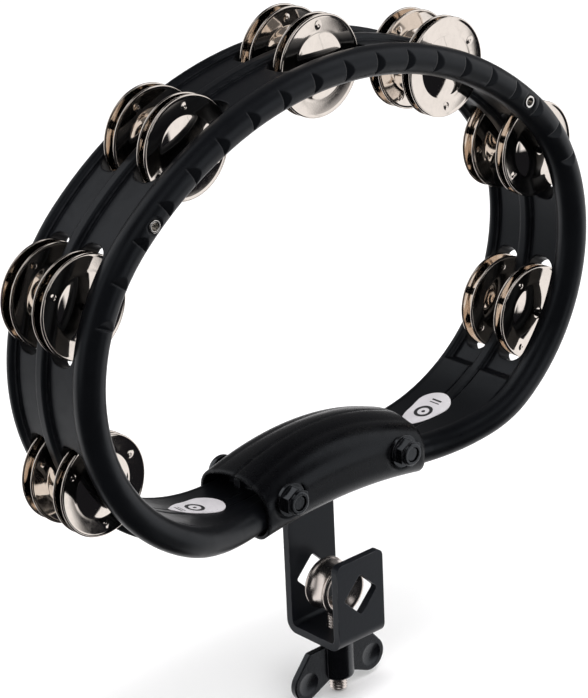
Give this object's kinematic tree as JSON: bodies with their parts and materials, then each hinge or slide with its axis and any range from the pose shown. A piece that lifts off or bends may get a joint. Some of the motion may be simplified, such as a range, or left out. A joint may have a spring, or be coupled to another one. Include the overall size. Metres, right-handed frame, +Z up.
{
  "type": "mountable tambourine",
  "caption": "Crescent tambourine: a ribbed black hoop with double rows of paired jingles on pins, a two-shell handle cover and a rod clamp with eye bolt and wing nut.",
  "frame": {"origin": "centre of the eye that clamps the mounting rod", "axes": "Y runs along the rod, with the round front rim towards -Y; Z runs up through the middle of the hoop; X is the hoop's width"},
  "size_m": [0.3454, 0.0668, 0.3575],
  "materials": {
    "frame_plastic": "satin moulded ABS",
    "cover_plastic": "satin moulded ABS",
    "jingle_nickel": "bright nickel plate",
    "rivet_nickel": "bright nickel plate",
    "black_steel": "black zinc",
    "bracket_paint": "satin black powder coat",
    "bright_steel": "bright nickel plate",
    "wing_nut_paint": "satin black coat",
    "label_white": "printed white film, blank"
  },
  "bodies": {
    "holder": {"clamp_bracket": "bracket_paint", "cover_bolts": "black_steel", "front_cover": "cover_plastic", "hoop_frame": "frame_plastic", "jingle_pins": "black_steel", "label_left": "label_white", "label_right": "label_white", "lock_nuts": "black_steel", "rear_cover": "cover_plastic", "tubular_rivets": "rivet_nickel"},
    "jingle_front_1_a_disc": {"jingle_front_1_a": "jingle_nickel"},
    "jingle_front_1_b_disc": {"jingle_front_1_b": "jingle_nickel"},
    "jingle_rear_1_a_disc": {"jingle_rear_1_a": "jingle_nickel"},
    "jingle_rear_1_b_disc": {"jingle_rear_1_b": "jingle_nickel"},
    "jingle_front_2_a_disc": {"jingle_front_2_a": "jingle_nickel"},
    "jingle_front_2_b_disc": {"jingle_front_2_b": "jingle_nickel"},
    "jingle_rear_2_a_disc": {"jingle_rear_2_a": "jingle_nickel"},
    "jingle_rear_2_b_disc": {"jingle_rear_2_b": "jingle_nickel"},
    "jingle_front_3_a_disc": {"jingle_front_3_a": "jingle_nickel"},
    "jingle_front_3_b_disc": {"jingle_front_3_b": "jingle_nickel"},
    "jingle_rear_3_a_disc": {"jingle_rear_3_a": "jingle_nickel"},
    "jingle_rear_3_b_disc": {"jingle_rear_3_b": "jingle_nickel"},
    "jingle_front_4_a_disc": {"jingle_front_4_a": "jingle_nickel"},
    "jingle_front_4_b_disc": {"jingle_front_4_b": "jingle_nickel"},
    "jingle_rear_4_a_disc": {"jingle_rear_4_a": "jingle_nickel"},
    "jingle_rear_4_b_disc": {"jingle_rear_4_b": "jingle_nickel"},
    "jingle_front_5_a_disc": {"jingle_front_5_a": "jingle_nickel"},
    "jingle_front_5_b_disc": {"jingle_front_5_b": "jingle_nickel"},
    "jingle_rear_5_a_disc": {"jingle_rear_5_a": "jingle_nickel"},
    "jingle_rear_5_b_disc": {"jingle_rear_5_b": "jingle_nickel"},
    "jingle_front_6_a_disc": {"jingle_front_6_a": "jingle_nickel"},
    "jingle_front_6_b_disc": {"jingle_front_6_b": "jingle_nickel"},
    "jingle_rear_6_a_disc": {"jingle_rear_6_a": "jingle_nickel"},
    "jingle_rear_6_b_disc": {"jingle_rear_6_b": "jingle_nickel"},
    "jingle_front_7_a_disc": {"jingle_front_7_a": "jingle_nickel"},
    "jingle_front_7_b_disc": {"jingle_front_7_b": "jingle_nickel"},
    "jingle_rear_7_a_disc": {"jingle_rear_7_a": "jingle_nickel"},
    "jingle_rear_7_b_disc": {"jingle_rear_7_b": "jingle_nickel"},
    "eye": {"eye_bolt": "bright_steel"},
    "nut": {"wing_nut": "wing_nut_paint"}
  },
  "joints": [
    {"name": "jingle_front_1_a_spin", "type": "hinge", "parent": "holder", "child": "jingle_front_1_a_disc", "pos_m": [-0.14441, -0.00555, 0.10786], "axis": [0, 1, 0], "continuous": true},
    {"name": "jingle_front_1_b_spin", "type": "hinge", "parent": "holder", "child": "jingle_front_1_b_disc", "pos_m": [-0.14441, -0.00035, 0.10786], "axis": [0, 1, 0], "continuous": true},
    {"name": "jingle_rear_1_a_spin", "type": "hinge", "parent": "holder", "child": "jingle_rear_1_a_disc", "pos_m": [-0.14441, 0.0178, 0.10786], "axis": [0, 1, 0], "continuous": true},
    {"name": "jingle_rear_1_b_spin", "type": "hinge", "parent": "holder", "child": "jingle_rear_1_b_disc", "pos_m": [-0.14441, 0.023, 0.10786], "axis": [0, 1, 0], "continuous": true},
    {"name": "jingle_front_2_a_spin", "type": "hinge", "parent": "holder", "child": "jingle_front_2_a_disc", "pos_m": [-0.14766, -0.00555, 0.19645], "axis": [0, 1, 0], "continuous": true},
    {"name": "jingle_front_2_b_spin", "type": "hinge", "parent": "holder", "child": "jingle_front_2_b_disc", "pos_m": [-0.14766, -0.00035, 0.19645], "axis": [0, 1, 0], "continuous": true},
    {"name": "jingle_rear_2_a_spin", "type": "hinge", "parent": "holder", "child": "jingle_rear_2_a_disc", "pos_m": [-0.14766, 0.0178, 0.19645], "axis": [0, 1, 0], "continuous": true},
    {"name": "jingle_rear_2_b_spin", "type": "hinge", "parent": "holder", "child": "jingle_rear_2_b_disc", "pos_m": [-0.14766, 0.023, 0.19645], "axis": [0, 1, 0], "continuous": true},
    {"name": "jingle_front_3_a_spin", "type": "hinge", "parent": "holder", "child": "jingle_front_3_a_disc", "pos_m": [-0.08315, -0.00555, 0.2545], "axis": [0, 1, 0], "continuous": true},
    {"name": "jingle_front_3_b_spin", "type": "hinge", "parent": "holder", "child": "jingle_front_3_b_disc", "pos_m": [-0.08315, -0.00035, 0.2545], "axis": [0, 1, 0], "continuous": true},
    {"name": "jingle_rear_3_a_spin", "type": "hinge", "parent": "holder", "child": "jingle_rear_3_a_disc", "pos_m": [-0.08315, 0.0178, 0.2545], "axis": [0, 1, 0], "continuous": true},
    {"name": "jingle_rear_3_b_spin", "type": "hinge", "parent": "holder", "child": "jingle_rear_3_b_disc", "pos_m": [-0.08315, 0.023, 0.2545], "axis": [0, 1, 0], "continuous": true},
    {"name": "jingle_front_4_a_spin", "type": "hinge", "parent": "holder", "child": "jingle_front_4_a_disc", "pos_m": [0, -0.00555, 0.274], "axis": [0, 1, 0], "continuous": true},
    {"name": "jingle_front_4_b_spin", "type": "hinge", "parent": "holder", "child": "jingle_front_4_b_disc", "pos_m": [0, -0.00035, 0.274], "axis": [0, 1, 0], "continuous": true},
    {"name": "jingle_rear_4_a_spin", "type": "hinge", "parent": "holder", "child": "jingle_rear_4_a_disc", "pos_m": [0, 0.0178, 0.274], "axis": [0, 1, 0], "continuous": true},
    {"name": "jingle_rear_4_b_spin", "type": "hinge", "parent": "holder", "child": "jingle_rear_4_b_disc", "pos_m": [0, 0.023, 0.274], "axis": [0, 1, 0], "continuous": true},
    {"name": "jingle_front_5_a_spin", "type": "hinge", "parent": "holder", "child": "jingle_front_5_a_disc", "pos_m": [0.08315, -0.00555, 0.2545], "axis": [0, 1, 0], "continuous": true},
    {"name": "jingle_front_5_b_spin", "type": "hinge", "parent": "holder", "child": "jingle_front_5_b_disc", "pos_m": [0.08315, -0.00035, 0.2545], "axis": [0, 1, 0], "continuous": true},
    {"name": "jingle_rear_5_a_spin", "type": "hinge", "parent": "holder", "child": "jingle_rear_5_a_disc", "pos_m": [0.08315, 0.0178, 0.2545], "axis": [0, 1, 0], "continuous": true},
    {"name": "jingle_rear_5_b_spin", "type": "hinge", "parent": "holder", "child": "jingle_rear_5_b_disc", "pos_m": [0.08315, 0.023, 0.2545], "axis": [0, 1, 0], "continuous": true},
    {"name": "jingle_front_6_a_spin", "type": "hinge", "parent": "holder", "child": "jingle_front_6_a_disc", "pos_m": [0.14766, -0.00555, 0.19645], "axis": [0, 1, 0], "continuous": true},
    {"name": "jingle_front_6_b_spin", "type": "hinge", "parent": "holder", "child": "jingle_front_6_b_disc", "pos_m": [0.14766, -0.00035, 0.19645], "axis": [0, 1, 0], "continuous": true},
    {"name": "jingle_rear_6_a_spin", "type": "hinge", "parent": "holder", "child": "jingle_rear_6_a_disc", "pos_m": [0.14766, 0.0178, 0.19645], "axis": [0, 1, 0], "continuous": true},
    {"name": "jingle_rear_6_b_spin", "type": "hinge", "parent": "holder", "child": "jingle_rear_6_b_disc", "pos_m": [0.14766, 0.023, 0.19645], "axis": [0, 1, 0], "continuous": true},
    {"name": "jingle_front_7_a_spin", "type": "hinge", "parent": "holder", "child": "jingle_front_7_a_disc", "pos_m": [0.14441, -0.00555, 0.10786], "axis": [0, 1, 0], "continuous": true},
    {"name": "jingle_front_7_b_spin", "type": "hinge", "parent": "holder", "child": "jingle_front_7_b_disc", "pos_m": [0.14441, -0.00035, 0.10786], "axis": [0, 1, 0], "continuous": true},
    {"name": "jingle_rear_7_a_spin", "type": "hinge", "parent": "holder", "child": "jingle_rear_7_a_disc", "pos_m": [0.14441, 0.0178, 0.10786], "axis": [0, 1, 0], "continuous": true},
    {"name": "jingle_rear_7_b_spin", "type": "hinge", "parent": "holder", "child": "jingle_rear_7_b_disc", "pos_m": [0.14441, 0.023, 0.10786], "axis": [0, 1, 0], "continuous": true},
    {"name": "wing_nut_turn", "type": "hinge", "parent": "holder", "child": "nut", "pos_m": [0, 0, -0.04], "axis": [0, 0, 1], "range_deg": [-1080, 1080]},
    {"name": "eye_bolt_slide", "type": "slide", "parent": "holder", "child": "eye", "axis": [0, 0, 1], "range_m": [-0.005, 0.005]}
  ],
  "couplings": [
    {"joint": "eye_bolt_slide", "follows": "wing_nut_turn", "m_per_rad": -0.00025266}
  ]
}
